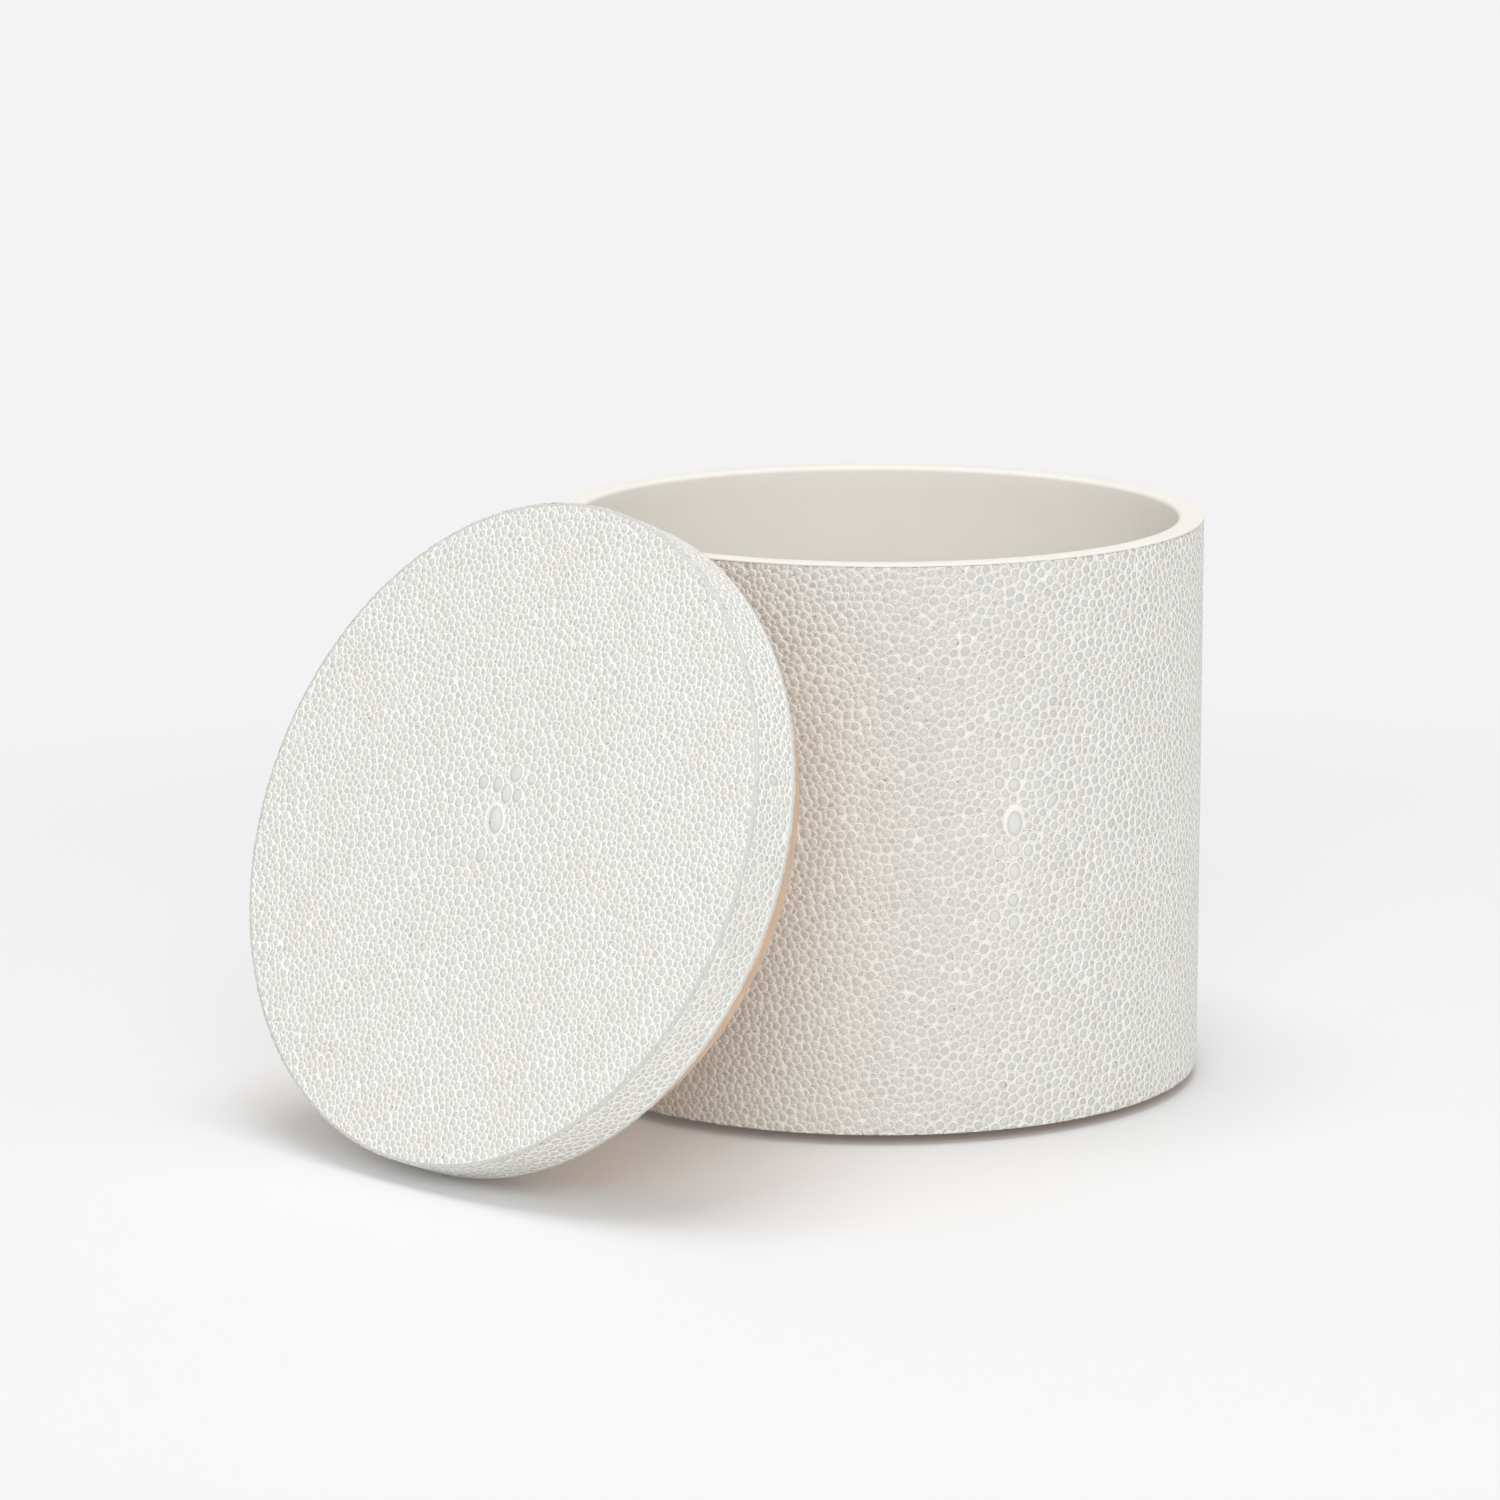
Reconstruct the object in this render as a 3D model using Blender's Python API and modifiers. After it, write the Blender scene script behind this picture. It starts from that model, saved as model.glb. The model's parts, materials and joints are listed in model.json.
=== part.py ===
"""Round canister in moulded shagreen with its lid taken off and leaning on its side.

Metres, +Z up. The origin is the centre of the base, on the surface that the canister stands on.
The lid leans on the -Y side of the wall.
"""
import math

import bpy
from mathutils import Matrix, Vector

# Whole object
outer_diameter = 0.127
body_height = 0.1109
wall_thickness = 0.005
skin_thickness = 0.0012
seat_gap = 0.0003
edge_radius = 0.0004

# Foot and floor of the cup
pad_thickness = 0.0017
pad_inset = 0.008
floor_thickness = 0.006

# Rim ring, with a thin lip over the top edge of the skin
ring_height = 0.004
lip_thickness = 0.0003
lip_radius = 0.0001
mouth_radius = 0.0008

# Lid
lid_thickness = 0.011
plug_depth = 0.0078
plug_clearance = 0.0005
plug_edge_radius = 0.0006
foot_gap = 0.0003
lean_angle = math.radians(22.95)

# Seams where each wrapped sheet meets itself
seam_gap = 0.0003
seam_overrun = 0.002

# How finely round shapes are cut
steps_around = 120
steps_per_fillet = 3
sharp_angle = math.radians(30)
weld_distance = 0.00001

# Sizes that follow
outer_radius = outer_diameter / 2
mouth_bore = outer_radius - wall_thickness
core_radius = outer_radius - skin_thickness - seat_gap
foot_height = pad_thickness + seat_gap
lip_height = body_height - lip_thickness
ring_foot = body_height - ring_height
plug_radius = mouth_bore - plug_clearance
mitre_gap = seat_gap * math.sqrt(0.5)
skin_seat = lid_thickness - skin_thickness


def start_clean():
    for thing in list(bpy.data.objects):
        bpy.data.objects.remove(thing, do_unlink=True)


def new_collection(name):
    group = bpy.data.collections.new(name)
    bpy.context.scene.collection.children.link(group)
    return group


def finish(name, colour, roughness):
    material = bpy.data.materials.new(name)
    material.use_nodes = True
    shader = material.node_tree.nodes["Principled BSDF"]
    shader.inputs["Base Color"].default_value = (*colour, 1.0)
    shader.inputs["Roughness"].default_value = roughness
    shader.inputs["Metallic"].default_value = 0.0
    return material


def rounded(corners):
    """Turn corners, each a radius, a height and a fillet, into the points of an outline."""
    points = []
    for index, (radius, height, fillet) in enumerate(corners):
        corner = Vector((radius, height))
        if fillet == 0:
            points.append(corner)
            continue
        before = (Vector(corners[index - 1][:2]) - corner).normalized()
        after = (Vector(corners[(index + 1) % len(corners)][:2]) - corner).normalized()
        half_angle = before.angle(after) / 2
        centre = corner + (before + after).normalized() * fillet / math.sin(half_angle)
        reach = fillet / math.tan(half_angle)
        first = corner + before * reach - centre
        last = corner + after * reach - centre
        for step in range(steps_per_fillet + 1):
            points.append(centre + first.slerp(last, step / steps_per_fillet) * fillet)
    return points


def turned(name, corners, ring, material, group, holder=None):
    """Spin an outline about Z. A ring's outline is closed, a disc's runs from axis to axis."""
    points = rounded(corners)
    edges = [(index, index + 1) for index in range(len(points) - 1)]
    if ring:
        edges.append((len(points) - 1, 0))
    outline = bpy.data.meshes.new(name + "_outline")
    outline.from_pydata([(point.x, 0, point.y) for point in points], edges, [])
    piece = bpy.data.objects.new(name, outline)
    group.objects.link(piece)
    screw = piece.modifiers.new("turn", "SCREW")
    screw.axis = "Z"
    screw.angle = math.tau
    screw.steps = steps_around
    screw.render_steps = steps_around
    screw.use_merge_vertices = True
    screw.merge_threshold = weld_distance
    bpy.context.view_layer.update()
    evaluated = piece.evaluated_get(bpy.context.evaluated_depsgraph_get())
    mesh = bpy.data.meshes.new_from_object(evaluated)
    mesh.name = name
    piece.modifiers.remove(screw)
    piece.data = mesh
    bpy.data.meshes.remove(outline)
    mesh.shade_smooth()
    mesh.set_sharp_from_angle(angle=sharp_angle)
    mesh.materials.append(material)
    if holder is not None:
        piece.parent = holder
    return piece


def cut_seam(piece, place, size, cutters, holder=None):
    """Open the butt seam of a wrapped sheet with a thin box."""
    bpy.ops.mesh.primitive_cube_add(size=1)
    blade = bpy.context.active_object
    blade.name = piece.name + "_seam_cutter"
    blade.data.transform(Matrix.Diagonal((*size, 1)))
    blade.location = place
    for group in blade.users_collection:
        group.objects.unlink(blade)
    cutters.objects.link(blade)
    blade.parent = holder
    blade.hide_render = True
    blade.display_type = "WIRE"
    cut = piece.modifiers.new("seam", "BOOLEAN")
    cut.operation = "DIFFERENCE"
    cut.solver = "EXACT"
    cut.object = blade


def make_base_pad(group):
    radius = outer_radius - pad_inset
    corners = [(0, pad_thickness, 0), (radius, pad_thickness, 0), (radius, 0, 0), (0, 0, 0)]
    turned("base_pad", corners, False, finish("dark_felt", (0.03, 0.03, 0.03), 0.95), group)


def make_cup_floor(group):
    radius = mouth_bore - seat_gap
    top = foot_height + floor_thickness
    corners = [(0, top, 0), (radius, top, 0), (radius, foot_height, 0), (0, foot_height, 0)]
    turned("cup_floor", corners, False, finish("floor_lacquer", (0.83, 0.80, 0.71), 0.4), group)


def make_cup_wall(group):
    top = ring_foot - seat_gap
    corners = [
        (core_radius, top, 0),
        (core_radius, foot_height, 0),
        (mouth_bore, foot_height, 0),
        (mouth_bore, top, 0),
    ]
    turned("cup_wall", corners, True, finish("wall_lacquer", (0.84, 0.81, 0.72), 0.4), group)


def make_rim_ring(group):
    corners = [
        (outer_radius, body_height, lip_radius),
        (outer_radius, lip_height, 0),
        (core_radius, lip_height, 0),
        (core_radius, ring_foot, 0),
        (mouth_bore, ring_foot, 0),
        (mouth_bore, body_height, mouth_radius),
    ]
    turned("rim_ring", corners, True, finish("rim_lacquer", (0.86, 0.83, 0.74), 0.35), group)


def make_body_skin(group, cutters):
    top = lip_height - seat_gap
    inner = outer_radius - skin_thickness
    corners = [
        (outer_radius, top, 0),
        (outer_radius, foot_height, edge_radius),
        (inner, foot_height, 0),
        (inner, top, 0),
    ]
    skin = turned("body_skin", corners, True, finish("wall_shagreen", (0.74, 0.73, 0.69), 0.5), group)
    place = (0, outer_radius, body_height / 2)
    size = (seam_gap, 2 * skin_thickness + 2 * seam_overrun, body_height + 2 * seam_overrun)
    cut_seam(skin, place, size, cutters)


def lid_place():
    """Where the middle of the lid's underside lies when the lid leans on the wall.

    The lid's lowest edge stands on the floor. Higher up, either the plug's edge meets the wall or,
    on a lower canister, the plug's face meets the rim: the lid stops at whichever comes first.
    """
    sine = math.sin(lean_angle)
    cosine = math.cos(lean_angle)
    height = foot_gap + edge_radius + (outer_radius - edge_radius) * cosine - edge_radius * sine
    edge_on_wall = outer_radius + seat_gap + plug_edge_radius
    edge_on_wall += (plug_radius - plug_edge_radius) * sine + (plug_depth - plug_edge_radius) * cosine
    face_on_rim = outer_radius + (plug_depth + seat_gap + (body_height - height) * sine) / cosine
    return (0, -min(edge_on_wall, face_on_rim), height)


def make_lid_holder(group):
    holder = bpy.data.objects.new("lid_axis", None)
    holder.location = lid_place()
    holder.rotation_euler = (math.pi / 2 - lean_angle, 0, 0)
    group.objects.link(holder)
    return holder


def make_lid_board(group, holder):
    top = skin_seat - seat_gap
    corners = [(0, top, 0), (core_radius, top, 0), (core_radius, 0, 0), (0, 0, 0)]
    turned("lid_board", corners, False, finish("board_wood", (0.72, 0.56, 0.42), 0.5), group, holder)


def make_lid_face_skin(group, holder):
    top_radius = outer_radius - mitre_gap
    corners = [
        (0, lid_thickness, 0),
        (top_radius, lid_thickness, edge_radius),
        (top_radius - skin_thickness, skin_seat, 0),
        (0, skin_seat, 0),
    ]
    turned("lid_face_skin", corners, False, finish("face_shagreen", (0.75, 0.74, 0.70), 0.5), group, holder)


def make_lid_band_skin(group, cutters, holder):
    inner = outer_radius - skin_thickness
    top = lid_thickness - mitre_gap
    corners = [
        (outer_radius, top, edge_radius),
        (outer_radius, 0, edge_radius),
        (inner, 0, 0),
        (inner, top - skin_thickness, 0),
    ]
    material = finish("band_shagreen", (0.74, 0.73, 0.69), 0.5)
    band = turned("lid_band_skin", corners, True, material, group, holder)
    place = (-outer_radius, 0, lid_thickness / 2)
    size = (2 * skin_thickness + 2 * seam_overrun, seam_gap, lid_thickness + 2 * seam_overrun)
    cut_seam(band, place, size, cutters, holder)


def make_lid_plug(group, holder):
    corners = [
        (0, -seat_gap, 0),
        (plug_radius, -seat_gap, 0),
        (plug_radius, -plug_depth, plug_edge_radius),
        (0, -plug_depth, 0),
    ]
    turned("lid_plug", corners, False, finish("plug_wood", (0.72, 0.56, 0.42), 0.5), group, holder)


start_clean()
canister = new_collection("canister")
cutting_tools = new_collection("cutters")
make_base_pad(canister)
make_cup_floor(canister)
make_cup_wall(canister)
make_rim_ring(canister)
make_body_skin(canister, cutting_tools)
lid_axis = make_lid_holder(canister)
make_lid_board(canister, lid_axis)
make_lid_face_skin(canister, lid_axis)
make_lid_band_skin(canister, cutting_tools, lid_axis)
make_lid_plug(canister, lid_axis)
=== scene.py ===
"""Round canister in moulded shagreen, its lid off and leaning on its side: the finish of every surface."""
import json
import math
from functools import partial

import bpy
from mathutils import Matrix, Vector

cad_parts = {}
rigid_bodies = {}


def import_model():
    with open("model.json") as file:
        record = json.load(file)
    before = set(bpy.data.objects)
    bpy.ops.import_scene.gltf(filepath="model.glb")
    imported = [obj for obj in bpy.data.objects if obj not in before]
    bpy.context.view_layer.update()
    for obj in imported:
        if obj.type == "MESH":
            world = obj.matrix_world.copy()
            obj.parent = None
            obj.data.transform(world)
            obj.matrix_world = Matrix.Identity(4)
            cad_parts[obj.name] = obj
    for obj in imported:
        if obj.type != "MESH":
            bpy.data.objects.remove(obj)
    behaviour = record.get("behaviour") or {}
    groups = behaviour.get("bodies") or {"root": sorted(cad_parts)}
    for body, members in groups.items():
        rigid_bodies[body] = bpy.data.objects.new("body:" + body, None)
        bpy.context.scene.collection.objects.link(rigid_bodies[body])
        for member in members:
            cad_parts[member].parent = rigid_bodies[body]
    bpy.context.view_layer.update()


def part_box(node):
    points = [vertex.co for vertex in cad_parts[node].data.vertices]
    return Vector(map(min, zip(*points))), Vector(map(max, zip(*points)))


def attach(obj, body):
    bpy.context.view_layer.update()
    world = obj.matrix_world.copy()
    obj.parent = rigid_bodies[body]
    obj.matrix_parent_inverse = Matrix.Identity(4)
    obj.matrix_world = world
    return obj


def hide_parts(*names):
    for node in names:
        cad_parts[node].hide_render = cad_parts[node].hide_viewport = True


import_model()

# Camera
# It stands about 1.2 m away on the lid's right, a little above the rim, and looks slightly down.
# Its turn, tilt and lens put the rim, the foot and the lid's edges where the photograph has them.
camera_turn = math.radians(44.27)
camera_tilt = math.radians(11.22)
camera_distance = 1.2137
camera_target = Vector((-0.01789, -0.01744, 0.06351))
scene_objects = bpy.context.scene.collection.objects
camera_data = bpy.data.cameras.new("camera")
camera_data.sensor_width = 36
camera_data.lens = 148.16
camera = bpy.data.objects.new("camera", camera_data)
camera.rotation_euler = (math.pi / 2 - camera_tilt, 0, camera_turn)
camera_back = camera.rotation_euler.to_matrix() @ Vector((0, 0, 1))
camera.location = camera_target + camera_back * camera_distance
scene_objects.link(camera)
bpy.context.scene.camera = camera
bpy.context.scene.view_settings.view_transform = "Standard"


# Floor and light
# A pale grey table under a broad soft lamp, with another soft one in front on the camera's side, a weak
# one on its right and an even room light. Far from the object the table is the plain background grey.
def add_node(tree, kind, inputs=None, **settings):
    """Add a node, with its settings and its inputs: each input is a value or a socket to link."""
    made = tree.nodes.new(kind)
    for name, value in settings.items():
        setattr(made, name, value)
    for name, value in (inputs or {}).items():
        if isinstance(value, bpy.types.NodeSocket):
            tree.links.new(value, made.inputs[name])
        else:
            made.inputs[name].default_value = value
    return made


def add_math(tree, operation, *values):
    """Add a Math node for one number and give back its result."""
    return add_node(tree, "ShaderNodeMath", dict(enumerate(values)), operation=operation).outputs[0]


def add_vector(tree, operation, *values):
    """Add a Vector Math node and give back its result, which for a length or a dot product is a number."""
    made = add_node(tree, "ShaderNodeVectorMath", dict(enumerate(values)), operation=operation)
    return made.outputs["Value" if operation in ("LENGTH", "DOT_PRODUCT") else "Vector"]


def mixed(tree, share, first, second):
    """Mix two colours, or colour sockets, by a share."""
    return add_node(tree, "ShaderNodeMix", {0: share, 6: first, 7: second}, data_type="RGBA").outputs[2]


def mapped(tree, value, low, high, to_low=0.0, to_high=1.0, smooth=True):
    """Map a number from one range to another."""
    kind = "SMOOTHSTEP" if smooth else "LINEAR"
    inputs = {0: value, 1: low, 2: high, 3: to_low, 4: to_high}
    return add_node(tree, "ShaderNodeMapRange", inputs, interpolation_type=kind).outputs[0]


background_grey = (0.896, 0.896, 0.896, 1)
table_grey = (0.85, 0.856, 0.866, 1)
table_bounce = (0.93, 0.925, 0.915, 1)
shadow_lift = 0.10
shadow_reach = 0.26
plain_reach = 0.42
floor_half_side = 7.0
floor_material = bpy.data.materials.new("pale_floor")
floor_material.use_nodes = True
floor_tree = floor_material.node_tree
floor_tree.nodes.clear()
floor_place = add_node(floor_tree, "ShaderNodeTexCoord").outputs["Object"]
floor_radius = add_vector(floor_tree, "LENGTH", floor_place)
floor_far = mapped(floor_tree, floor_radius, shadow_reach, plain_reach, shadow_lift)
camera_ray = add_node(floor_tree, "ShaderNodeLightPath").outputs["Is Camera Ray"]
floor_share = add_math(floor_tree, "MULTIPLY", floor_far, camera_ray)
floor_colour = mixed(floor_tree, camera_ray, table_bounce, table_grey)
floor_diffuse = add_node(floor_tree, "ShaderNodeBsdfDiffuse", {"Color": floor_colour})
floor_plain = add_node(floor_tree, "ShaderNodeEmission", {"Color": background_grey, "Strength": 1.0})
floor_shaders = {0: floor_share, 1: floor_diffuse.outputs[0], 2: floor_plain.outputs[0]}
floor_mix = add_node(floor_tree, "ShaderNodeMixShader", floor_shaders)
add_node(floor_tree, "ShaderNodeOutputMaterial", {"Surface": floor_mix.outputs[0]})
floor_mesh = bpy.data.meshes.new("floor")
floor_corners = [(-1, -1, 0), (1, -1, 0), (1, 1, 0), (-1, 1, 0)]
floor_mesh.from_pydata([Vector(corner) * floor_half_side for corner in floor_corners], [], [(0, 1, 2, 3)])
floor_mesh.materials.append(floor_material)
floor = bpy.data.objects.new("floor", floor_mesh)
scene_objects.link(floor)

room_colour = (1.0, 0.995, 0.985, 1)
room_strength = 0.53
world = bpy.data.worlds.new("studio")
world.use_nodes = True
bpy.context.scene.world = world
world_tree = world.node_tree
world_tree.nodes.clear()
seen = add_node(world_tree, "ShaderNodeLightPath").outputs
seen_plain = add_math(world_tree, "MAXIMUM", seen["Is Camera Ray"], seen["Is Transmission Ray"])
room = add_node(world_tree, "ShaderNodeBackground", {"Color": room_colour, "Strength": room_strength})
plain = add_node(world_tree, "ShaderNodeBackground", {"Color": background_grey, "Strength": 1.0})
world_shaders = {0: seen_plain, 1: room.outputs[0], 2: plain.outputs[0]}
world_mix = add_node(world_tree, "ShaderNodeMixShader", world_shaders)
add_node(world_tree, "ShaderNodeOutputWorld", {"Surface": world_mix.outputs[0]})
lamp_target = Vector((0, 0, 0.05))


def add_lamp(name, place, side, power):
    """A square soft white lamp that faces the object."""
    data = bpy.data.lights.new(name, "AREA")
    data.shape = "SQUARE"
    data.size = side
    data.energy = power
    lamp = bpy.data.objects.new(name, data)
    lamp.location = place
    lamp.rotation_euler = (Vector(place) - lamp_target).to_track_quat("Z", "Y").to_euler()
    scene_objects.link(lamp)


add_lamp("top_lamp", (0, 0, 2.0), side=1.2, power=18.5)
add_lamp("front_lamp", (1.3, -1.3, 0.9), side=1.2, power=12.4)
add_lamp("side_lamp", (1.8, -0.4, 0.6), side=1.0, power=0.4)


# Cup: wall, floor and rim ring
# A plain round wooden tube with a round board let into its foot and a smooth ring glued on its top,
# all sprayed in a cream satin lacquer. Up to 0.3 mm above the foot they turn an orange brown: painted
# shade, as the light it throws back browns the shade on the table under the foot.
steps_around = 240
sharp_angle = math.radians(40)
glue_gap = 0.0003
lip_thickness = 0.0003
lip_radius = 0.00015
mouth_radius = 0.0009
brown_foot = 0.0003


def rounded(corners, steps=4):
    """Turn corners, each a radius, a height and a fillet, into the points of an outline."""
    points = []
    for index, (radius, height, fillet) in enumerate(corners):
        corner = Vector((radius, height))
        if fillet == 0:
            points.append(corner)
            continue
        before = (Vector(corners[index - 1][:2]) - corner).normalized()
        after = (Vector(corners[(index + 1) % len(corners)][:2]) - corner).normalized()
        half_angle = before.angle(after) / 2
        centre = corner + (before + after).normalized() * fillet / math.sin(half_angle)
        reach = fillet / math.tan(half_angle)
        first = corner + before * reach - centre
        last = corner + after * reach - centre
        for step in range(steps + 1):
            points.append(centre + first.slerp(last, step / steps) * fillet)
    return points


def turned(name, corners, material, body, place=None, slit=0.0, slit_turn=0.0):
    """Turn an outline about Z into a closed piece that rides on a body.

    A slit leaves a narrow gap in a ring, capped on both sides.
    """
    points = rounded(corners)
    is_ring = corners[0][0] > 0
    spans = len(points) if is_ring else len(points) - 1
    half_slit = slit / 2 / max(point.x for point in points)
    columns = steps_around + 1 if slit else steps_around
    vertices = []
    index_of = {}
    for column in range(columns):
        angle = slit_turn + half_slit + (math.tau - 2 * half_slit) * column / steps_around
        for row, point in enumerate(points):
            if point.x == 0 and column > 0:
                index_of[column, row] = index_of[0, row]
                continue
            index_of[column, row] = len(vertices)
            vertices.append((point.x * math.cos(angle), point.x * math.sin(angle), point.y))
    faces = []
    for column in range(steps_around):
        after = (column + 1) % columns
        for row in range(spans):
            below = (row + 1) % len(points)
            spots = [(column, row), (column, below), (after, below), (after, row)]
            faces.append(list(dict.fromkeys(index_of[spot] for spot in spots)))
    if slit:
        faces.append([index_of[0, row] for row in reversed(range(len(points)))])
        faces.append([index_of[columns - 1, row] for row in range(len(points))])
    mesh = bpy.data.meshes.new(name)
    mesh.from_pydata(vertices, [], faces)
    mesh.shade_smooth()
    mesh.set_sharp_from_angle(angle=sharp_angle)
    mesh.materials.append(material)
    if place is not None:
        mesh.transform(place)
    piece = bpy.data.objects.new(name, mesh)
    scene_objects.link(piece)
    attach(piece, body)
    return piece


def new_finish(name, roughness, gloss=0.5):
    """Start a finish: its node tree, its shader and the place on the piece that its patterns read."""
    material = bpy.data.materials.new(name)
    material.use_nodes = True
    tree = material.node_tree
    shader = tree.nodes["Principled BSDF"]
    shader.inputs["Roughness"].default_value = roughness
    shader.inputs["Specular IOR Level"].default_value = gloss
    place = add_node(tree, "ShaderNodeTexCoord").outputs["Object"]
    return material, tree, shader, place


def add_noise(tree, place, size, detail=3.0):
    """Noise with features about as wide as a size in metres."""
    inputs = {"Vector": place, "Scale": 1 / size, "Detail": detail}
    return add_node(tree, "ShaderNodeTexNoise", inputs).outputs["Fac"]


def add_bump(tree, shader, height, depth):
    """Shade a surface as if a pattern stood a depth in metres proud of it."""
    bump = add_node(tree, "ShaderNodeBump", {"Height": height, "Distance": depth, "Strength": 1.0})
    tree.links.new(bump.outputs[0], shader.inputs["Normal"])


def split(tree, vector):
    """The three parts of a vector."""
    return add_node(tree, "ShaderNodeSeparateXYZ", {0: vector}).outputs


def combined(tree, x, y, z=0.0):
    """A vector from its three parts."""
    return add_node(tree, "ShaderNodeCombineXYZ", {0: x, 1: y, 2: z}).outputs[0]


cream = (0.87, 0.85, 0.80, 1)
cream_deep = (0.86, 0.837, 0.785, 1)
foot_shade_brown = (0.60, 0.27, 0.11, 1)
noise_span = (0.3, 0.7)
spray_cloud_size = 0.012
spray_grain_size = 0.0009
spray_grain_depth = 0.00002
cup_low, cup_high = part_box("cup_wall")
foot_height = cup_low.z
lacquer, lacquer_tree, lacquer_shader, lacquer_place = new_finish("cream_lacquer", 0.6, 0.2)
lacquer_cloud = mapped(lacquer_tree, add_noise(lacquer_tree, lacquer_place, spray_cloud_size), *noise_span)
lacquer_colour = mixed(lacquer_tree, lacquer_cloud, cream, cream_deep)
lacquer_height = split(lacquer_tree, lacquer_place)["Z"]
# Painted shade: the lowest 0.3 mm turns from lacquer to an orange brown, which browns the shade under the
# foot.
lacquer_share = mapped(lacquer_tree, lacquer_height, foot_height, foot_height + brown_foot, smooth=False)
lacquer_colour = mixed(lacquer_tree, lacquer_share, foot_shade_brown, lacquer_colour)
lacquer_tree.links.new(lacquer_colour, lacquer_shader.inputs["Base Color"])
lacquer_grain = add_noise(lacquer_tree, lacquer_place, spray_grain_size)
add_bump(lacquer_tree, lacquer_shader, lacquer_grain, spray_grain_depth)

rim_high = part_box("rim_ring")[1]
board_low, board_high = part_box("cup_floor")
skin_low, skin_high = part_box("body_skin")
outer_radius = skin_high.x
core_radius = cup_high.x
mouth_bore = board_high.x + glue_gap
wall_corners = [
    (core_radius, cup_high.z, 0),
    (core_radius, foot_height, 0),
    (mouth_bore, foot_height, 0),
    (mouth_bore, cup_high.z, 0),
]
wall = turned("wall_tube", wall_corners, lacquer, "canister")
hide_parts("cup_wall")
board_corners = [
    (0, board_high.z, 0),
    (board_high.x, board_high.z, 0),
    (board_high.x, board_low.z, 0),
    (0, board_low.z, 0),
]
cup_board = turned("floor_board", board_corners, lacquer, "canister")
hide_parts("cup_floor")
rim_corners = [
    (outer_radius, rim_high.z, lip_radius),
    (outer_radius, rim_high.z - lip_thickness, 0),
    (core_radius, rim_high.z - lip_thickness, 0),
    (core_radius, cup_high.z, 0),
    (mouth_bore, cup_high.z, 0),
    (mouth_bore, rim_high.z, mouth_radius),
]
rim = turned("smooth_rim", rim_corners, lacquer, "canister")
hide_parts("rim_ring")


# Pad under the foot
# A thin round of dark felt, cut from a sheet and stuck under the foot board. It is set in from the edge,
# so that it doesn't show and the wall seems to stand free of the table.
felt_dark = (0.008, 0.008, 0.008, 1)
felt_pale = (0.025, 0.024, 0.023, 1)
fibre_size = 0.0004
fibre_depth = 0.0002
fibre_span = (0.35, 0.65)
pad_top_radius = 0.0003
pad_foot_radius = 0.0002
felt, felt_tree, felt_shader, felt_place = new_finish("dark_felt", 0.95, 0.2)
felt_fibres = mapped(felt_tree, add_noise(felt_tree, felt_place, fibre_size, 6.0), *fibre_span)
felt_tree.links.new(mixed(felt_tree, felt_fibres, felt_dark, felt_pale), felt_shader.inputs["Base Color"])
add_bump(felt_tree, felt_shader, felt_fibres, fibre_depth)
pad_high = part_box("base_pad")[1]
pad_corners = [
    (0, pad_high.z, 0),
    (pad_high.x, pad_high.z, pad_top_radius),
    (pad_high.x, 0, pad_foot_radius),
    (0, 0, 0),
]
pad = turned("felt_pad", pad_corners, felt, "canister")
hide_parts("base_pad")


# Shagreen sheet round the wall
# A cast resin sheet with raised round scales, wiped with a grey wash that stays on their flat tops.
# It is wrapped round the tube and butted at the back. Its pearl, a long large scale, is half way up.
ivory = (0.915, 0.90, 0.86, 1)
ivory_bright = (0.93, 0.925, 0.89, 1)
scale_grey = (0.68, 0.69, 0.675, 1)
scale_ring = (0.55, 0.555, 0.54, 1)
pinhole_dark = (0.16, 0.15, 0.135, 1)
pinhole_spacing = 0.0033
pinhole_radius = 0.0002
pinhole_strength = 0.75
resin_cloud_size = 0.009
resin_grain_size = 0.0004
resin_grain_depth = 0.00002
palest_share = 0.25
grey_from = (0.71, 0.83)
centre_from = (0.80, 0.90)
scale_rise = 0.0003
scale_flank = 0.00042

# Each scale carries its crown, 0 at its foot and 1 at its middle, its share of the wash, and its tone.
shagreen, skin_tree, skin_shader, skin_place = new_finish("shagreen", 0.5)
crown, wash, tone = [
    add_node(skin_tree, "ShaderNodeAttribute", attribute_name=name).outputs["Fac"]
    for name in ("crown", "wash", "tone")
]
skin_cloud = mapped(skin_tree, add_noise(skin_tree, skin_place, resin_cloud_size), *noise_span)
skin_base = mixed(skin_tree, skin_cloud, ivory, ivory_bright)
tone_pale = mapped(skin_tree, tone, 0.0, 1.0, 0.0, palest_share, False)
tone_dark = mapped(skin_tree, tone, -1.0, 0.0, 1.0, 0.0, False)
top_grey = mixed(skin_tree, tone_pale, scale_grey, ivory)
top_grey = mixed(skin_tree, tone_dark, top_grey, scale_ring)
# Painted shade: each top is darker in a ring round its edge, where it turns down to its flank.
top_colour = mixed(skin_tree, mapped(skin_tree, crown, *centre_from), scale_ring, top_grey)
top_mask = add_math(skin_tree, "MULTIPLY", mapped(skin_tree, crown, *grey_from), wash)
skin_colour = mixed(skin_tree, top_mask, skin_base, top_colour)
pinhole_field = {"Vector": skin_place, "Scale": 1 / pinhole_spacing}
pinhole = add_node(skin_tree, "ShaderNodeTexVoronoi", pinhole_field).outputs["Distance"]
pinhole_edge = pinhole_radius / pinhole_spacing
pinhole = mapped(skin_tree, pinhole, 0.6 * pinhole_edge, 1.2 * pinhole_edge, pinhole_strength, 0.0)
skin_colour = mixed(skin_tree, pinhole, skin_colour, pinhole_dark)
skin_tree.links.new(skin_colour, skin_shader.inputs["Base Color"])
skin_grain = add_noise(skin_tree, skin_place, resin_grain_size, 5.0)
add_bump(skin_tree, skin_shader, skin_grain, resin_grain_depth)


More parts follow.
